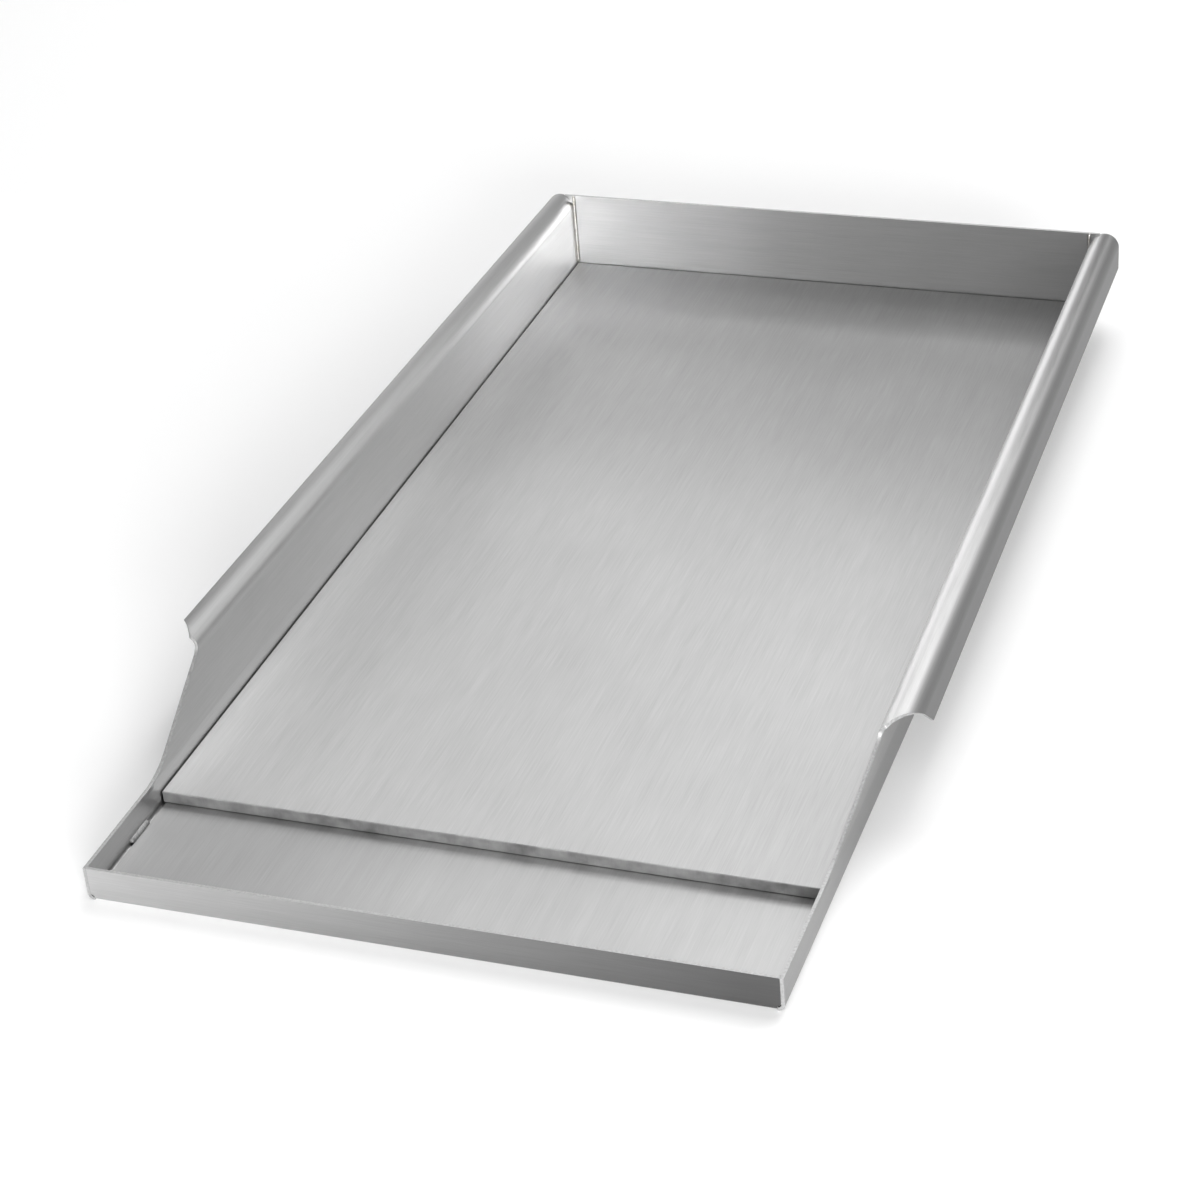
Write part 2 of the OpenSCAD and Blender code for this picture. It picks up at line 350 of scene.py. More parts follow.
def end_wall(node, outer_y, inward, top, eared):
    foot_x = INNER_X - BEND_IN_R
    half = steps(0, foot_x, 36) + steps(foot_x, INNER_X, 3)[1:]
    xs = [-x for x in reversed(half[1:])] + half
    rows = steps(top, END_BEND_R, 5)
    if eared:
        rows = steps(top, ROLL_Z, EAR_ROWS)[:-1] + steps(ROLL_Z, END_BEND_R, 14)

    def upright(x, z):
        return (x, outer_y, z), (x, outer_y + inward * SHEET, z), (top - z, x)

    def bent(x, turn, run):
        pair = []
        for reach in (END_BEND_R, END_BEND_IN_R):
            pair.append((x, outer_y + inward * (END_BEND_R - reach * math.cos(turn) + run),
                         END_BEND_R - reach * math.sin(turn)))
        return pair[0], pair[1], (top - END_BEND_R + END_BEND_R * turn + run, x)

    def lowest(x):
        over = max(0.0, abs(x) - foot_x) / BEND_IN_R
        return END_BEND_R + (BEND_R - END_BEND_R) * over

    def panel(a, b, heights_a, heights_b):
        return [(upright(a, heights_a[k]), upright(b, heights_b[k]),
                 upright(b, heights_b[k + 1]), upright(a, heights_a[k + 1]))
                for k in range(len(heights_a) - 1)]

    cells = []
    for a, b in zip(xs, xs[1:]):
        cells += panel(a, b, rows[:-1] + [lowest(a)], rows[:-1] + [lowest(b)])
        if max(abs(a), abs(b)) < foot_x + 1e-9:
            turns = [(math.pi / 2 * i / 6, 0) for i in range(7)]
            turns += [(math.pi / 2, run) for run in steps(0, FLANGE - END_BEND_IN_R, 4)[1:]]
            for (t0, r0), (t1, r1) in zip(turns, turns[1:]):
                cells.append((bent(a, t0, r0), bent(b, t0, r0), bent(b, t1, r1), bent(a, t1, r1)))
    for i in range(EAR_STEPS if eared else 0):
        ends = (i * EAR_TURN, (i + 1) * EAR_TURN)
        out = [INNER_X + ROLL_R * (1 - math.cos(t)) for t in ends]
        heights = [steps(top, ROLL_Z + ROLL_R * math.sin(t), EAR_ROWS) for t in ends]
        cells += panel(out[0], out[1], heights[0], heights[1])
        cells += panel(-out[1], -out[0], heights[1], heights[0])
    return break_edges(sheet_metal(node + "_sheet", cells), 0.2)


front_wall = end_wall("front_wall", FRONT_Y, 1, LOW_RIM_Z, False)
back_wall = end_wall("back_wall", REAR_Y, -1, WALL_TOP_Z, True)
settle(front_wall, "front_wall")
settle(back_wall, "back_wall")

# %% [markdown]
# ## The tray floor
# The floor is one flat sheet that lies on the flanges. Its front strip is the bottom of
# the grease trough and the plate covers the rest. Eight round holes are punched through
# it so that the plate can be plug welded from below, where no cook sees the welds.
#
# A boolean could punch the holes, but it leaves long thin faces that shade badly. Here
# each hole gets its own rings of cells, which end on a square that fits the grid.

# %% Places of the holes
plug_x, plug_near = INNER_X - PLUG_INSET, PLATE_Y + PLUG_INSET
plug_far = BACK_Y - PLUG_INSET
plug_ys = steps(plug_near, plug_far, 2)
plug_places = [(x, y) for x in (-plug_x, 0, plug_x) for y in plug_ys
               if x != 0 or y != plug_ys[1]]
BLOCK = 16 * MM
print("holes mm", [(round(x / MM), round(y / MM)) for x, y in plug_places])


# %% Make the floor
def grid_lines(start, end, blocks, pitch):
    """Grid lines at about this pitch, with one block left free round each hole."""
    marks = sorted([start, end] + [b + k * BLOCK for b in blocks for k in (-1, 1)])
    lines = [marks[0]]
    for a, b in zip(marks, marks[1:]):
        inside = any(abs((a + b) / 2 - c) < BLOCK for c in blocks)
        lines += steps(a, b, 1 if inside else max(1, round((b - a) / pitch)))[1:]
    return lines


def punched_block(cx, cy, point):
    """Rings of cells round one hole, then triangles out to the block's corners."""
    rings = [PLUG_R, 4.8 * MM, 6 * MM, 8 * MM, 10.5 * MM, 13.5 * MM]
    ring = lambda r, k: point(cx + r * math.cos(math.radians(k * 11.25 + 45)),
                              cy + r * math.sin(math.radians(k * 11.25 + 45)))
    cells = [(ring(a, k), ring(b, k), ring(b, k + 1), ring(a, k + 1))
             for a, b in zip(rings, rings[1:]) for k in range(32)]
    corners = [point(cx + BLOCK * sx, cy + BLOCK * sy)
               for sx, sy in ((1, 1), (-1, 1), (-1, -1), (1, -1))]
    for side in range(4):
        a, b = corners[side], corners[(side + 1) % 4]
        for k in range(8 * side, 8 * side + 8):
            cells.append((ring(rings[-1], k), a if k % 8 < 4 else b, ring(rings[-1], k + 1)))
        cells.append((ring(rings[-1], 8 * side + 4), a, b))
    return cells


def floor_sheet():
    point = lambda x, y: ((x, y, floor_high.z), (x, y, floor_low.z), (x, y))
    xs = grid_lines(floor_low.x, floor_high.x, [-plug_x, 0, plug_x], 6 * MM)
    ys = grid_lines(floor_low.y, floor_high.y, plug_ys, 8 * MM)
    cells = []
    for a, b in zip(xs, xs[1:]):
        for c, d in zip(ys, ys[1:]):
            if not any(abs((a + b) / 2 - x) < 1e-6 and abs((c + d) / 2 - y) < 1e-6
                       for x, y in plug_places):
                cells.append((point(a, c), point(b, c), point(b, d), point(a, d)))
    for x, y in plug_places:
        cells += punched_block(x, y, point)
    return break_edges(sheet_metal("tray_floor_sheet", cells), 0.2)


tray_floor = floor_sheet()
settle(tray_floor, "tray_floor")

# %% [markdown]
# ## The griddle plate
# The plate is what the food lies on, so it is thick: it spreads the burners' heat and
# does not warp. It is cut from plate stock, its top is ground along its length and its
# upper edges are eased with a file. The front edge keeps the rougher look of the cut,
# and it stands above the trough as a dark step.
#
# It is the same helper again, with a greater thickness and a wider bevel.

# %% Make the plate
def plate_stock():
    point = lambda x, y: ((x, y, plate_high.z), (x, y, plate_low.z), (x, y))
    xs, ys = steps(plate_low.x, plate_high.x, 24), steps(plate_low.y, plate_high.y, 44)
    cells = [(point(a, c), point(b, c), point(b, d), point(a, d))
             for a, b in zip(xs, xs[1:]) for c, d in zip(ys, ys[1:])]
    thickness = plate_high.z - plate_low.z
    return break_edges(sheet_metal("griddle_plate_stock", cells, thickness), 0.5, 3)


griddle_plate = plate_stock()
settle(griddle_plate, "griddle_plate")

# %% [markdown]
# ## The weld beads
# The corners of the tray are closed with fillet welds, the trough has one short stitch on
# each side, and more stitches under the floor tie it to the flanges. A hand weld is laid
# as a row of small overlapping puddles, so its skin shows fine curved ripples, and it
# starts and ends in a rounded toe.
#
# Each bead is swept along its corner. The sweep changes its radius a little with every
# ripple, and the ripple's edge lags at the toes, which gives the curved look.

# %% A swept weld bead
RIPPLE_PITCH, ROWS_A_RIPPLE, BEAD_TURNS = 1.7 * MM, 6, 12
SUNK = 0.06 * MM


def weld_bead(name, start, end, leg_a, leg_b, leg, undercut=0.0):
    """A fillet between two faces, its back edge sunk a little into them so no gap shows."""
    start, end = Vector(start), Vector(end)
    leg_a, leg_b = Vector(leg_a), Vector(leg_b)
    length, along = (end - start).length, (end - start).normalized()
    mesh = bmesh.new()
    flat_layer = mesh.loops.layers.uv.new("grain")
    rows, turns = max(12, round(length / (RIPPLE_PITCH / ROWS_A_RIPPLE))), BEAD_TURNS
    rings = []
    for i in range(rows + 1):
        place = length * i / rows
        near_end = min(place, length - place)
        toe = math.sqrt(max(0.0, 1 - max(0.0, 1 - near_end / (0.9 * leg)) ** 2))
        toe = max(toe, 0.12)
        ring = [mesh.verts.new(start + along * place - (leg_a + leg_b) * SUNK)]
        for k in range(turns + 1):
            turn = math.pi / 2 * k / turns
            lag = 0.55 * (math.sin(turn) - 0.5) ** 2
            ripple = 0.5 + 0.5 * math.sin(2 * math.pi * (place / RIPPLE_PITCH - lag))
            uneven = noise.noise(Vector((place * 260, k * 0.35, leg * 4000)))
            # The skin dips by 7 % of the leg between ripples and wanders by 3 %
            reach = leg * toe * (0.90 + 0.07 * ripple + 0.03 * uneven)
            reach *= 1 - undercut * (turn / (math.pi / 2)) ** 2
            ring.append(mesh.verts.new(start + along * place
                                       + leg_a * (reach * math.cos(turn) - SUNK)
                                       + leg_b * (reach * math.sin(turn) - SUNK)))
        rings.append(ring)
    count = turns + 2
    for i in range(rows):
        for k in range(count):
            j = (k + 1) % count
            made = mesh.faces.new((rings[i][k], rings[i][j], rings[i + 1][j], rings[i + 1][k]))
            around = ((i, k), (i, k + 1), (i + 1, k + 1), (i + 1, k))
            for loop, (row, col) in zip(made.loops, around):
                loop[flat_layer].uv = (col * leg / turns, length * row / rows)
    mesh.faces.new(list(reversed(rings[0])))
    mesh.faces.new(rings[-1])
    bmesh.ops.recalc_face_normals(mesh, faces=mesh.faces)
    for made in mesh.faces:
        made.smooth = True
    return finished(name, mesh)


# %% Welds in the corners and the trough
for side, hand in ((-1, "left"), (1, "right")):
    into = (-side, 0, 0)
    low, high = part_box(f"front_{hand}_corner_weld")
    bead = weld_bead(f"front_{hand}_bead", (side * INNER_X, TROUGH_Y, low.z),
                     (side * INNER_X, TROUGH_Y, high.z), (0, 1, 0), into, high.y - low.y)
    settle(bead, f"front_{hand}_corner_weld")
    low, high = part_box(f"back_{hand}_corner_weld")
    bead = weld_bead(f"back_{hand}_bead", (side * INNER_X, BACK_Y, low.z),
                     (side * INNER_X, BACK_Y, high.z), into, (0, -1, 0), high.y - low.y, 0.45)
    settle(bead, f"back_{hand}_corner_weld")
    low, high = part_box(f"{hand}_trough_weld")
    bead = weld_bead(f"{hand}_trough_bead", (side * INNER_X, low.y, floor_high.z),
                     (side * INNER_X, high.y, floor_high.z), into, (0, 0, 1), high.z - low.z)
    settle(bead, f"{hand}_trough_weld")


# %% Stitch welds under the floor
def joined(name, pieces):
    """One object from several, because the CAD node holds the whole row of stitches."""
    mesh = bmesh.new()
    for piece in pieces:
        mesh.from_mesh(piece.data)
        bpy.data.objects.remove(piece)
    return finished(name, mesh)


STITCH = 25 * MM
stitch_spots = []


def stitch_row(node, count, corner, run, leg_a, leg_b, span, leg):
    corner, run, beads = Vector(corner), Vector(run), []
    for i in range(count):
        middle = corner + run * ((i - (count - 1) / 2) * span / count)
        start, end = middle - run * STITCH / 2, middle + run * STITCH / 2
        stitch_spots.append((start, end))
        beads.append(weld_bead("stitch", start, end, leg_a, leg_b, leg))
    settle(joined(node + "_beads", beads), node)


inner_len = BACK_Y - TROUGH_Y
for side, hand in ((-1, "left"), (1, "right")):
    low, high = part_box(f"{hand}_flange_welds")
    stitch_row(f"{hand}_flange_welds", 6, (side * (INNER_X - FLANGE), 0, floor_low.z), (0, 1, 0),
               (-side, 0, 0), (0, 0, -1), inner_len - 2 * FLANGE, high.x - low.x)
for node, y, inward in (("front_flange_welds", TROUGH_Y + FLANGE, 1),
                        ("back_flange_welds", BACK_Y - FLANGE, -1)):
    low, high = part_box(node)
    stitch_row(node, 3, (0, y, floor_low.z), (1, 0, 0), (0, inward, 0), (0, 0, -1),
               2 * INNER_X - 2 * FLANGE, high.z - low.z)


# %% Plug welds, as seen from below
def plug_weld(cx, cy, top, bottom):
    """A disc of weld that fills its hole: a low crown, ring ripples and a small crater."""
    mesh = bmesh.new()
    flat_layer = mesh.loops.layers.uv.new("grain")
    rings, around = 22, 40
    centre = mesh.verts.new((cx, cy, bottom - 0.15 * MM))
    skins = []
    for i in range(1, rings + 1):
        r = PLUG_R * i / rings
        crown = 0.45 * MM * (1 - (r / PLUG_R) ** 2) - 0.3 * MM * math.exp(-(r / (0.9 * MM)) ** 2)
        ring = []
        for k in range(around):
            turn = 2 * math.pi * k / around
            ripple = 0.06 * MM * math.sin(2 * math.pi * r / (1.1 * MM) + turn)
            ripple *= min(1.0, (PLUG_R - r) / (0.5 * MM))
            ring.append(mesh.verts.new((cx + r * math.cos(turn), cy + r * math.sin(turn),
                                        bottom - crown - ripple)))
        skins.append(ring)
    skins.append([mesh.verts.new((v.co.x, v.co.y, top)) for v in skins[-1]])
    for k in range(around):
        j = (k + 1) % around
        mesh.faces.new((centre, skins[0][j], skins[0][k]))
        for a, b in zip(skins, skins[1:]):
            mesh.faces.new((a[k], a[j], b[j], b[k]))
    mesh.faces.new(skins[-1])
    bmesh.ops.recalc_face_normals(mesh, faces=mesh.faces)
    for made in mesh.faces:
        made.smooth = True
        for loop in made.loops:
            loop[flat_layer].uv = (loop.vert.co.x, loop.vert.co.y)
    return finished("plug", mesh)


plugs = joined("plate_plug_beads", [plug_weld(x, y, floor_high.z, floor_low.z)
                                    for x, y in plug_places])
settle(plugs, "plate_plug_welds")

# %% [markdown]
# ## Brushed stainless steel
# The whole tray is grade 304 stainless, sold with a brushed finish: a belt has drawn fine
# parallel scratches along the sheet. That gives the eye a soft grey metal whose
# highlights smear across the grain and stay fairly short along it. A metal's colour is
# its reflection colour, so the base colour is a light neutral grey and metallic is 1. The
# grain is anisotropy across U, plus stretched noise that varies colour, roughness and
# bump.
#
# Real grain lines are about 0.1 mm apart. That is too fine to show here, so they are
# drawn 0.6 mm apart. Streaks 5 mm wide and clouds 60 mm wide keep large faces from
# looking printed. An image of brushed steel would repeat and could not follow the bends,
# so every pattern is noise on the flat sheet.
#
# Two numbers stored on the vertices, which the next steps work out, change the metal from
# place to place. "heat" gives the colours that a torch leaves. The second number darkens
# the metal and makes it rougher. Its plain value is the sheet's own tone; above it, it is
# painted shade, and below it, a painted highlight.

# %% Helpers for materials
def linear(hex_colour):
    """An sRGB hex colour as the linear colour that a socket holds."""
    parts = [int(hex_colour[i:i + 2], 16) / 255 for i in (1, 3, 5)]
    return (*[c / 12.92 if c <= 0.04045 else ((c + 0.055) / 1.055) ** 2.4 for c in parts], 1.0)


def add(material, kind, inputs=None, **settings):
    """Adds a node, sets it up, and links or sets each named input."""
    node = material.node_tree.nodes.new(kind)
    for name, value in settings.items():
        setattr(node, name, value)
    for name, value in (inputs or {}).items():
        if isinstance(value, bpy.types.NodeSocket):
            material.node_tree.links.new(value, node.inputs[name])
        else:
            node.inputs[name].default_value = value
    return node


def new_material(name):
    material = bpy.data.materials.new(name)
    material.use_nodes = True
    material.node_tree.nodes.clear()
    return material


def per_mm(across, along):
    """Noise scale that gives features of this size, in millimetres, on the flat sheet."""
    return (1 / (across * MM), 1 / (along * MM), 1.0)


def finish_material(material, inputs):
    surface = add(material, "ShaderNodeBsdfPrincipled", inputs)
    add(material, "ShaderNodeOutputMaterial", {"Surface": surface.outputs["BSDF"]})
    return material


# %% What the stored numbers do to the metal
# Heat runs from bare metal through straw, bronze, purple and blue to the grey at the bead
MARK_TINTS = {
    "heat": ((0.0, "#FFFFFF"), (0.18, "#F2E3BE"), (0.4, "#C9A36A"), (0.58, "#8C6F86"),
             (0.75, "#66799C"), (1.0, "#77787A")),
    # The second mark is painted shade: at 1 it multiplies the colour down to mid grey
    "tone_and_painted_shade": ((0.0, "#FFFFFF"), (1.0, "#808080")),
}
# Sockets of the colour mix node, whose names are not unique
MIX_FACTOR, MIX_A, MIX_B, MIX_OUT = 0, 6, 7, 2


def marked(material, colour):
    """The colour after both marks have been multiplied over it."""
    for mark, stops in MARK_TINTS.items():
        amount = add(material, "ShaderNodeAttribute", attribute_name=mark).outputs["Fac"]
        ramp = add(material, "ShaderNodeValToRGB", {"Fac": amount})
        while len(ramp.color_ramp.elements) < len(stops):
            ramp.color_ramp.elements.new(0.5)
        for stop, (place, tint) in zip(ramp.color_ramp.elements, stops):
            stop.position, stop.color = place, linear(tint)
        colour = add(material, "ShaderNodeMix",
                     {MIX_FACTOR: 1.0, MIX_A: colour, MIX_B: ramp.outputs["Color"]},
                     data_type="RGBA", blend_type="MULTIPLY").outputs[MIX_OUT]
    return colour


# %% The brushed finish
def brushed_stainless(name, dark, light, rough, spread, smear):
    """Dark and light are the grain's two greys; smear is how far highlights spread across it."""
    m = new_material(name)
    flat = add(m, "ShaderNodeUVMap", uv_map="grain").outputs["UV"]

    def pattern(across, along, detail, turn=0.0):
        spot = add(m, "ShaderNodeMapping", {"Vector": flat, "Rotation": (0, 0, turn),
                                            "Scale": per_mm(across, along)})
        return add(m, "ShaderNodeTexNoise", {"Vector": spot.outputs["Vector"], "Scale": 1.0,
                                             "Detail": detail, "Roughness": 0.6}).outputs["Fac"]

    grain = pattern(0.6, 28, 3)
    streak = pattern(5, 110, 2)
    cloud = pattern(60, 80, 3)
    # A few stray scratches run at a slant to the grain and catch less light
    scratch = pattern(0.8, 30, 0, math.radians(12))
    scratch_mark = add(m, "ShaderNodeMapRange", {"Value": scratch, "From Min": 0.76,
                                                 "From Max": 0.84}).outputs["Result"]
    broad = add(m, "ShaderNodeMath", {0: streak, 1: cloud}, operation="ADD").outputs[0]
    uneven = add(m, "ShaderNodeMath", {0: broad, 1: 0.4, 2: grain},
                 operation="MULTIPLY_ADD").outputs[0]
    tone = add(m, "ShaderNodeMapRange", {"Value": uneven, "From Min": 0.5, "From Max": 1.3})
    colour = add(m, "ShaderNodeMix", {MIX_FACTOR: tone.outputs["Result"], MIX_A: linear(dark),
                                      MIX_B: linear(light)}, data_type="RGBA").outputs[MIX_OUT]
    roughness = add(m, "ShaderNodeMapRange", {"Value": uneven, "From Min": 0.6, "From Max": 1.2,
                                              "To Min": rough - spread, "To Max": rough + spread})
    scuffed = add(m, "ShaderNodeMath", {0: scratch_mark, 1: 0.05,
                                        2: roughness.outputs["Result"]}, operation="MULTIPLY_ADD")
    # The painted shade number also makes the metal rougher where it is high
    tone_and_painted_shade = add(m, "ShaderNodeAttribute", attribute_name="tone_and_painted_shade").outputs["Fac"]
    matt = add(m, "ShaderNodeMapRange", {"Value": tone_and_painted_shade, "From Min": 0.4, "From Max": 0.8,
                                         "To Min": 0.0, "To Max": 0.14})
    gloss = add(m, "ShaderNodeMath", {0: scuffed.outputs[0], 1: matt.outputs["Result"]},
                operation="ADD")
    slow = add(m, "ShaderNodeBump", {"Height": cloud, "Strength": 0.35, "Distance": 0.1 * MM})
    fine = add(m, "ShaderNodeBump", {"Height": grain, "Strength": 0.22, "Distance": 0.02 * MM,
                                     "Normal": slow.outputs["Normal"]})
    tangent = add(m, "ShaderNodeTangent", direction_type="UV_MAP", uv_map="grain")
    return finish_material(m, {"Base Color": marked(m, colour), "Metallic": 1.0,
                               "Roughness": gloss.outputs[0],
                               "Anisotropic": smear, "Tangent": tangent.outputs["Tangent"],
                               "Normal": fine.outputs["Normal"]})


brushed_sheet = brushed_stainless("brushed_stainless_sheet", "#BEBEBE", "#D2D2D2", 0.34, 0.03, 0.8)
ground_plate = brushed_stainless("ground_stainless_plate", "#AFAFAF", "#C6C6C6", 0.40, 0.02, 0.5)
print("materials", brushed_sheet.name, ground_plate.name)

# %% [markdown]
# ## Sawn edge, filed edge and weld metal
# The plate was parted with an abrasive saw, which leaves its edges dull, darker and
# scored across their thickness. The eye reads that as a matt dark band. The score marks
# are drawn 0.7 mm apart, coarser than the real grit, so that they show.
#
# The cut edges of the sheet were filed smooth to the hand. Filing leaves fine cross
# marks, so they stay soft and light from every side, and draw a thin pale line round the
# tray.
#
# Weld metal is the same alloy, frozen as it ran. It is smooth between its ripples, so it
# glints in small spots, and the torch leaves it slightly straw coloured. The front
# corners and the trough were dressed with a grinding wheel after welding, so their beads
# are matt and grey like the sheet beside them. The back corners and the underside were
# left as welded.

# %% Sawn edge
sawn_edge = new_material("sawn_stainless_edge")
place = add(sawn_edge, "ShaderNodeTexCoord").outputs["Object"]
scored = add(sawn_edge, "ShaderNodeMapping", {"Vector": place, "Scale": (1400, 1400, 160)})
score = add(sawn_edge, "ShaderNodeTexNoise", {"Vector": scored.outputs["Vector"], "Scale": 1.0,
                                              "Detail": 4.0, "Roughness": 0.7}).outputs["Fac"]
# Stains about 11 mm across, left by the cutting heat
stain = add(sawn_edge, "ShaderNodeTexNoise", {"Vector": place, "Scale": 90.0,
                                              "Detail": 3.0}).outputs["Fac"]
shade = add(sawn_edge, "ShaderNodeMapRange", {"Value": stain, "From Min": 0.3, "From Max": 0.7})
edge_colour = add(sawn_edge, "ShaderNodeMix",
                  {MIX_FACTOR: shade.outputs["Result"], MIX_A: linear("#808080"),
                   MIX_B: linear("#B4B4B4")}, data_type="RGBA")
edge_rough = add(sawn_edge, "ShaderNodeMapRange", {"Value": score, "To Min": 0.45, "To Max": 0.7})
edge_bump = add(sawn_edge, "ShaderNodeBump", {"Height": score, "Strength": 0.5,
                                              "Distance": 0.08 * MM})
finish_material(sawn_edge, {"Base Color": edge_colour.outputs[MIX_OUT],
                            "Metallic": 1.0, "Roughness": edge_rough.outputs["Result"],
                            "Normal": edge_bump.outputs["Normal"]})

# %% Filed edge
cut_edge = new_material("deburred_sheet_edge")
place = add(cut_edge, "ShaderNodeTexCoord").outputs["Object"]
filed = add(cut_edge, "ShaderNodeTexNoise", {"Vector": place, "Scale": 900.0,
                                             "Detail": 3.0}).outputs["Fac"]
filed_shade = add(cut_edge, "ShaderNodeMapRange", {"Value": filed, "From Min": 0.3,
                                                   "From Max": 0.7})
filed_colour = add(cut_edge, "ShaderNodeMix",
                   {MIX_FACTOR: filed_shade.outputs["Result"], MIX_A: linear("#A6A6A6"),
                    MIX_B: linear("#C0C0C0")}, data_type="RGBA")
filed_rough = add(cut_edge, "ShaderNodeMapRange", {"Value": filed, "To Min": 0.5, "To Max": 0.7})
filed_bump = add(cut_edge, "ShaderNodeBump", {"Height": filed, "Strength": 0.25,
                                              "Distance": 0.03 * MM})
finish_material(cut_edge, {"Base Color": filed_colour.outputs[MIX_OUT],
                           "Metallic": 1.0, "Roughness": filed_rough.outputs["Result"],
                           "Normal": filed_bump.outputs["Normal"]})

# %% Weld metal
def weld_metal(name, dark, light, smooth, rough):
    m = new_material(name)
    spot = add(m, "ShaderNodeTexCoord").outputs["Object"]
    blotch = add(m, "ShaderNodeTexNoise", {"Vector": spot, "Scale": 420.0,
                                           "Detail": 3.0}).outputs["Fac"]
    shade = add(m, "ShaderNodeMapRange", {"Value": blotch, "From Min": 0.3, "From Max": 0.7})
    colour = add(m, "ShaderNodeMix", {MIX_FACTOR: shade.outputs["Result"],
                                      MIX_A: linear(dark), MIX_B: linear(light)},
                 data_type="RGBA")
    gloss = add(m, "ShaderNodeMapRange", {"Value": blotch, "To Min": smooth, "To Max": rough})
    bump = add(m, "ShaderNodeBump", {"Height": blotch, "Strength": 0.3, "Distance": 0.05 * MM})
    return finish_material(m, {"Base Color": colour.outputs[MIX_OUT],
                               "Metallic": 1.0, "Roughness": gloss.outputs["Result"],
                               "Normal": bump.outputs["Normal"]})


raw_weld = weld_metal("as_welded_stainless", "#B4B0A8", "#CDCCCA", 0.26, 0.42)
dressed_weld = weld_metal("dressed_weld_stainless", "#8E8E8E", "#A6A6A6", 0.5, 0.62)

# %% Give every piece its material
sheet_pieces = (left_wall, right_wall, front_wall, back_wall, tray_floor)
dressed_beads = ("front_left_bead", "front_right_bead", "left_trough_bead", "right_trough_bead")


def paint(piece, *materials):
    for material in materials:
        piece.data.materials.append(material)


for piece in sheet_pieces:
    paint(piece, brushed_sheet, cut_edge)
paint(griddle_plate, ground_plate, sawn_edge)
beads = [o for o in bpy.data.objects if o.name.endswith(("_bead", "_beads"))]
for piece in beads:
    paint(piece, dressed_weld if piece.name in dressed_beads else raw_weld)
print("weld pieces", len(beads))

# %% [markdown]
# ## Heat tint under the tray
# Stainless steel colours where a torch has heated it: straw at the rim of the heated
# patch, then bronze, purple and blue next to the bead. The maker has brushed the tint off
# the top, so it stays only underneath. Each vertex of the underside stores how close it
# is to a weld, and the sheet's material turns that number into a colour.

# %% Measure the distance to the nearest weld
TINT_REACH = 11 * MM


def heat_at(point):
    nearest = min((point - Vector((x, y, point.z))).length - PLUG_R for x, y in plug_places)
    for start, end in stitch_spots:
        run = end - start
        share = max(0.0, min(1.0, (point - start).dot(run) / run.length_squared))
        nearest = min(nearest, (point - (start + run * share)).length)
    return max(0.0, 1 - max(0.0, nearest) / TINT_REACH)


for piece in sheet_pieces:
    heat = piece.data.attributes.new("heat", "FLOAT", "POINT")
    for vertex, cell in zip(piece.data.vertices, heat.data):
        under = vertex.co.z < floor_low.z + 0.01 * MM
        cell.value = heat_at(vertex.co) if under else 0.0
print("stitches", len(stitch_spots), "plugs", len(plug_places))

# %% [markdown]
# ## Painted light and shade on the metal
# A second number on each vertex, from 0 to 1, darkens the metal and makes it rougher.
# Fresh belt-brushed sheet has the value PLAIN. Above it the number is painted shade, below
# it a painted highlight. The outer faces of the side walls and the outer sides of the
# rolled rims get painted shade, and the left roll's highlight is painted down. The low
# front strip gets painted shade that deepens towards its right end. The left end of the
# back wall, the back of the left wall's inner face and the inner side of the right roll
# get painted highlights. The plate gets painted shade towards the back, and at the front a
# painted highlight on its left and painted shade on its right. The trough floor gets
# painted shade towards its left.
#
# Painting this by hand would do as well, but a formula keeps it tied to the sizes.

# %% Painted shade and highlights on the tray's walls
PLAIN = 0.38


def ramp_up(low, high, value):
    """0 below low, 1 above high, and a smooth climb between."""
    share = max(0.0, min(1.0, (value - low) / (high - low)))
    return share * share * (3 - 2 * share)


# Painted shade on the front strip, deepening from its left end to its right end
def front_strip_painted_shade(spot):
    share = (spot.x + INNER_X) / (1.9 * INNER_X)
    return 0.92 * max(0.0, min(1.0, share)) ** 0.85


# Painted light and shade on a side wall, measured from its inner face
def side_wall_painted_shading(spot, left):
    out = abs(spot.x) - INNER_X - lean(spot.y, ROLL_Z)
    if spot.z < ROLL_Z and out < 2 * SHEET:
        if abs(spot.x) - INNER_X - lean(spot.y, spot.z) > SHEET / 2:
            # Painted shade on the outer face of the wall
            return PLAIN + 0.14
        # A painted highlight towards the back of the left wall's inner face; the right one stays
        # plain
        return PLAIN - 0.2 * ramp_up(90 * MM, 190 * MM, spot.y) if left else PLAIN
    # Painted shade that damps the left roll's highlight and darkens its outer edge
    if left:
        return (PLAIN + 0.3 * ramp_up(0, 0.35 * ROLL_R, out)
                + 0.15 * ramp_up(1.2 * ROLL_R, 1.8 * ROLL_R, out))
    # Right roll: a painted highlight on its inner side, painted shade over its outer side and lip
    return 0.85 * ramp_up(0.8 * ROLL_R, 1.8 * ROLL_R, out)


# %% Painted shade and highlights on the plate
# Painted shade towards the back; at the front a painted highlight on the left and painted shade on
# the right
def plate_painted_shading(spot):
    front = ramp_up(80 * MM, 220 * MM, -spot.y)
    return 0.17 + 0.21 * ramp_up(0, 150 * MM, spot.y) + 0.15 * front * spot.x / INNER_X


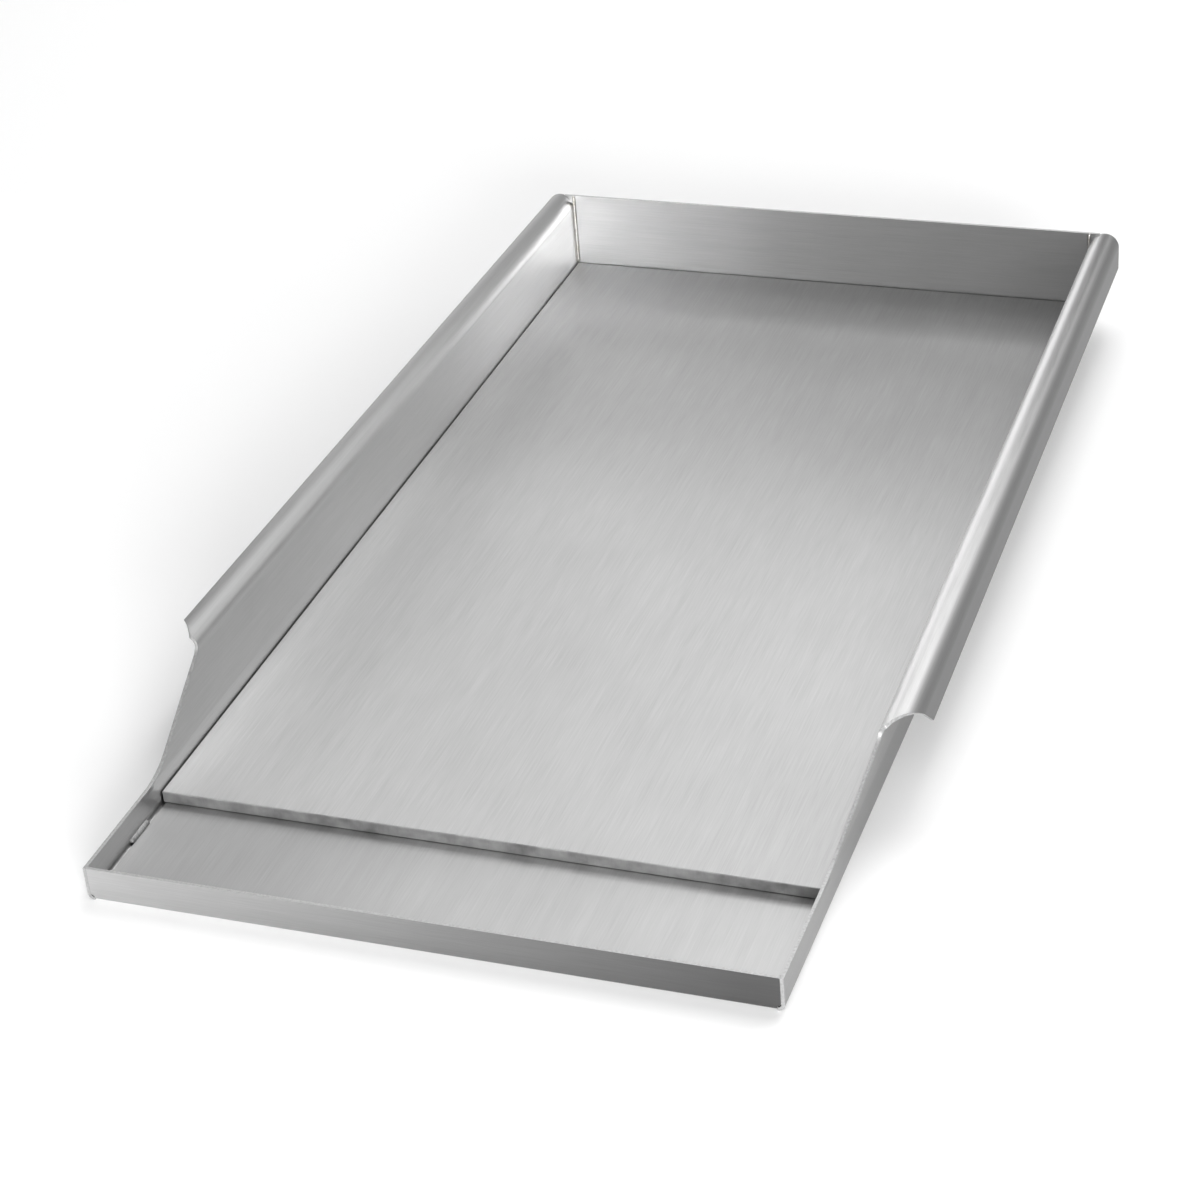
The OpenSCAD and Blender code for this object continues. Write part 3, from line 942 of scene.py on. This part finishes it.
# %% Store the painted shade and highlights
painted_shading_rules = (
    (left_wall, lambda spot: side_wall_painted_shading(spot, True)),
    (right_wall, lambda spot: side_wall_painted_shading(spot, False)),
    (front_wall, front_strip_painted_shade),
    # Back wall: a painted highlight on its left end
    (back_wall, lambda spot: PLAIN - 0.13 + 0.15 * ramp_up(-65 * MM, -20 * MM, spot.x)),
    # Tray floor: painted shade towards its left side
    (tray_floor, lambda spot: PLAIN + 0.2 * ramp_up(0, 80 * MM, -spot.x)),
    (griddle_plate, plate_painted_shading),
)
for piece, rule in painted_shading_rules:
    tone_and_painted_shade = piece.data.attributes.new("tone_and_painted_shade", "FLOAT", "POINT")
    for vertex, cell in zip(piece.data.vertices, tone_and_painted_shade.data):
        cell.value = rule(vertex.co)
    print(piece.name, "mean painted_shade_level", round(sum(c.value for c in tone_and_painted_shade.data) / len(tone_and_painted_shade.data), 2))

# %% [markdown]
# ## Floor, light and camera
# Brushed metal shows its surroundings more than its own colour, so the studio is part of
# the finish. A pale floor and large soft panels give wide, soft reflections. One big
# light dome would be simpler, but it leaves brushed steel flat and grey. Ten panels, most
# of them weak, give each face its own brightness.

# %% Floor
bpy.ops.mesh.primitive_circle_add(vertices=96, radius=8, fill_type="NGON", location=(0, 0, 0))
studio_floor = bpy.context.object
studio_floor.name = "studio_floor"
pale_paper = new_material("pale_studio_paper")
place = add(pale_paper, "ShaderNodeTexCoord").outputs["Object"]
fibre = add(pale_paper, "ShaderNodeTexNoise", {"Vector": place, "Scale": 30.0, "Detail": 4.0})
fibre_rough = add(pale_paper, "ShaderNodeMapRange", {"Value": fibre.outputs["Fac"],
                                                     "To Min": 0.8, "To Max": 0.95})
finish_material(pale_paper, {"Base Color": linear("#F4F4F4"),
                             "Roughness": fibre_rough.outputs["Result"],
                             "Specular IOR Level": 0.1})
studio_floor.data.materials.append(pale_paper)

# %% Dim light from the room
ROOM_LIGHT = 0.15
world = bpy.data.worlds.new("studio")
bpy.context.scene.world = world
world.use_nodes = True
world.node_tree.nodes["Background"].inputs["Color"].default_value = linear("#FFFFFF")
world.node_tree.nodes["Background"].inputs["Strength"].default_value = ROOM_LIGHT

# %% Soft panels round the tray
PANEL_SIZE, PANEL_DISTANCE = 1.44, 3.0


def soft_panel(azimuth, elevation, watts):
    """A panel seen from the tray in degrees: azimuth 0 is the front, 90 the right."""
    a, e = math.radians(azimuth), math.radians(elevation)
    data = bpy.data.lights.new("soft_panel", "AREA")
    data.shape, data.size, data.energy = "SQUARE", PANEL_SIZE, watts
    panel = bpy.data.objects.new("soft_panel", data)
    away = Vector((math.sin(a) * math.cos(e), -math.cos(a) * math.cos(e), math.sin(e)))
    panel.location = away * PANEL_DISTANCE
    panel.rotation_euler = (-away).to_track_quat("-Z", "Y").to_euler()
    panel.visible_camera = False
    bpy.context.scene.collection.objects.link(panel)
    return panel


# The strong low panel in front lights the faces that stand towards the viewer. The panels
# behind (150 to 210 degrees) are what the plate and the rolls mirror.
PANELS = ((180, 66, 33.0), (180, 45, 11.2), (150, 45, 13.5), (210, 45, 1.1), (150, 25, 11.4),
          (210, 25, 4.0), (330, 25, 20.0), (210, 8, 8.5), (30, 8, 178.0), (10, 50, 14.0))
for azimuth, elevation, watts in PANELS:
    soft_panel(azimuth, elevation, watts)
print("panels", len(PANELS), "watts", round(sum(p[2] for p in PANELS)))

# %% Camera
# It stands to the right of the open front, 1.4 m away, and looks down at 30 degrees
camera_data = bpy.data.cameras.new("camera")
camera_data.lens, camera_data.sensor_width = 88.1, 36.0
camera_data.shift_x, camera_data.shift_y = 0.0024, 0.0009
camera_data.clip_start, camera_data.clip_end = 0.05, 50.0
camera = bpy.data.objects.new("camera", camera_data)
camera.location = (0.4079, -1.1158, 0.7049)
camera.rotation_euler = [math.radians(turn) for turn in (58.666, 4.114, 19.067)]
bpy.context.scene.collection.objects.link(camera)
bpy.context.scene.camera = camera
bpy.context.scene.view_settings.view_transform = "Standard"
